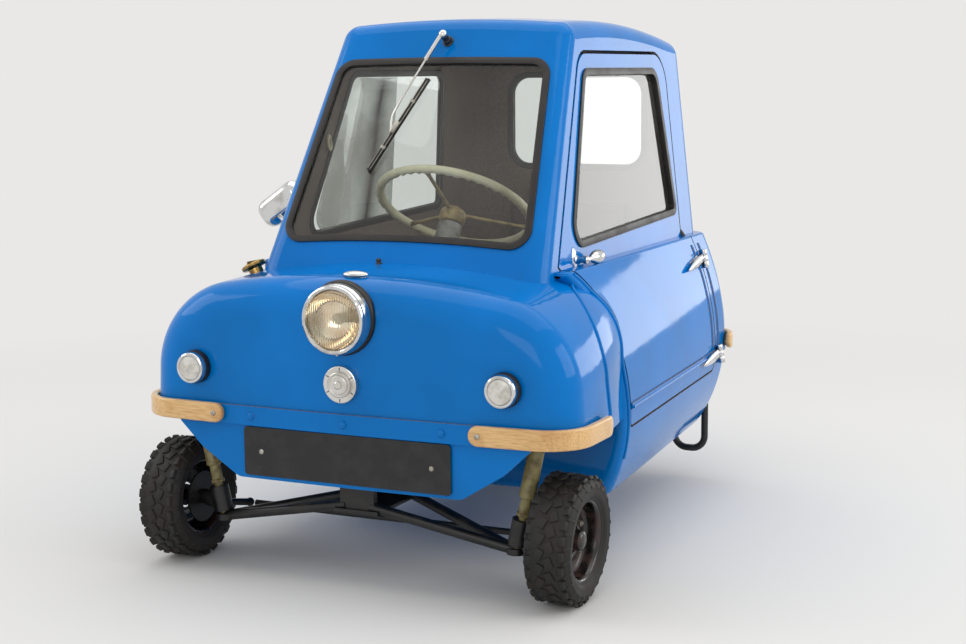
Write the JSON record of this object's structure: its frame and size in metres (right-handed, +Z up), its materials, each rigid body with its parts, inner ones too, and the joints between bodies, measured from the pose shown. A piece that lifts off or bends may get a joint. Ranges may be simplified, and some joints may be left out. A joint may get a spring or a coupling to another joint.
{
  "type": "three wheeled car",
  "caption": "Single-seat three wheeled microcar with a moulded body, a rear hinged side door, a raked screen, steered front wheels and one rear wheel.",
  "frame": {"origin": "on the floor, under the middle of the car's overall length and width", "axes": "-Y is the front of the car, +X its own left (the door side), +Z up"},
  "size_m": [1.038, 1.394, 1.188],
  "materials": {
    "blue_gelcoat": "gloss",
    "tub_gelcoat": "gloss",
    "clear_glass": "polished",
    "black_rubber": "matt",
    "bright_chrome": "polished",
    "lamp_glass": "fluted",
    "red_lens": "gloss",
    "aged_timber": "worn",
    "black_plate": "satin",
    "seat_vinyl": "grained",
    "interior_panel": "matt",
    "cream_plastic": "satin",
    "black_enamel": "satin",
    "olive_enamel": "worn",
    "cast_alloy": "cast",
    "tyre_rubber": "matt",
    "brown_enamel": "satin"
  },
  "bodies": {
    "chassis": {"upper_body": "blue_gelcoat", "lower_body": "tub_gelcoat", "footwell_box": "tub_gelcoat", "front_valance": "blue_gelcoat", "front_bumperettes": "aged_timber", "rear_bumperettes": "aged_timber", "windscreen_glass": "clear_glass", "windscreen_seal": "black_rubber", "side_window_glass": "clear_glass", "side_window_seal": "black_rubber", "rear_window_glass": "clear_glass", "rear_window_seal": "black_rubber", "hinge_brackets": "bright_chrome", "headlamp_shell": "bright_chrome", "headlamp_lens": "lamp_glass", "side_lamp_rims": "bright_chrome", "side_lamp_lenses": "lamp_glass", "horn_disc": "bright_chrome", "front_plate": "black_plate", "rear_lamps": "red_lens", "grab_handle": "bright_chrome", "fuel_cap": "bright_chrome", "mirror": "bright_chrome", "wiper": "black_enamel", "seat_box": "interior_panel", "seat_cushion": "seat_vinyl", "seat_back": "seat_vinyl", "steering_column": "cast_alloy", "gear_lever": "black_enamel", "pedals": "black_enamel", "engine_block": "cast_alloy", "front_arms": "black_enamel", "front_struts": "olive_enamel", "rear_fork": "black_enamel", "tail_hoops": "black_enamel"},
    "door": {"door_shell": "blue_gelcoat", "door_glass": "clear_glass", "door_seal": "black_rubber", "door_handle": "bright_chrome", "hinge_straps": "bright_chrome"},
    "steering": {"steering_wheel": "cream_plastic"},
    "knuckle_l": {"knuckle_left": "black_enamel"},
    "knuckle_r": {"knuckle_right": "black_enamel"},
    "wheel_fl": {"tyre_front_left": "tyre_rubber", "rim_front_left": "brown_enamel"},
    "wheel_fr": {"tyre_front_right": "tyre_rubber", "rim_front_right": "brown_enamel"},
    "wheel_r": {"tyre_rear": "tyre_rubber", "rim_rear": "brown_enamel"},
    "track": {"track_rod": "black_enamel"}
  },
  "joints": [
    {"name": "door_hinge", "type": "hinge", "parent": "chassis", "child": "door", "pos_m": [0.449, 0.508, 0.345], "axis": [-0.1821, 0, 0.9833], "range_deg": [0, 75]},
    {"name": "steering_turn", "type": "hinge", "parent": "chassis", "child": "steering", "pos_m": [0.004, -0.127, 0.755], "axis": [0, 0.5446, 0.8387], "range_deg": [-108, 108]},
    {"name": "kingpin_left", "type": "hinge", "parent": "chassis", "child": "knuckle_l", "pos_m": [0.362, -0.573, 0.16], "axis": [0.2079, 0, 0.9781], "range_deg": [-27, 27]},
    {"name": "kingpin_right", "type": "hinge", "parent": "chassis", "child": "knuckle_r", "pos_m": [-0.362, -0.573, 0.16], "axis": [-0.2079, 0, 0.9781], "range_deg": [-27, 27]},
    {"name": "track_rod_slide", "type": "slide", "parent": "chassis", "child": "track", "axis": [1, 0, 0], "range_m": [-0.0387, 0.0387]},
    {"name": "wheel_front_left", "type": "hinge", "parent": "knuckle_l", "child": "wheel_fl", "pos_m": [0.455, -0.556, 0.1339], "axis": [0.9994, 0, -0.0349], "continuous": true},
    {"name": "wheel_front_right", "type": "hinge", "parent": "knuckle_r", "child": "wheel_fr", "pos_m": [-0.455, -0.556, 0.1339], "axis": [0.9994, 0, 0.0349], "continuous": true},
    {"name": "wheel_rear", "type": "hinge", "parent": "chassis", "child": "wheel_r", "pos_m": [0, 0.492, 0.133], "axis": [1, 0, 0], "continuous": true}
  ],
  "couplings": [
    {"joint": "kingpin_left", "follows": "steering_turn", "ratio": 0.25},
    {"joint": "kingpin_right", "follows": "steering_turn", "ratio": 0.25},
    {"joint": "track_rod_slide", "follows": "steering_turn", "m_per_rad": -0.0205}
  ]
}
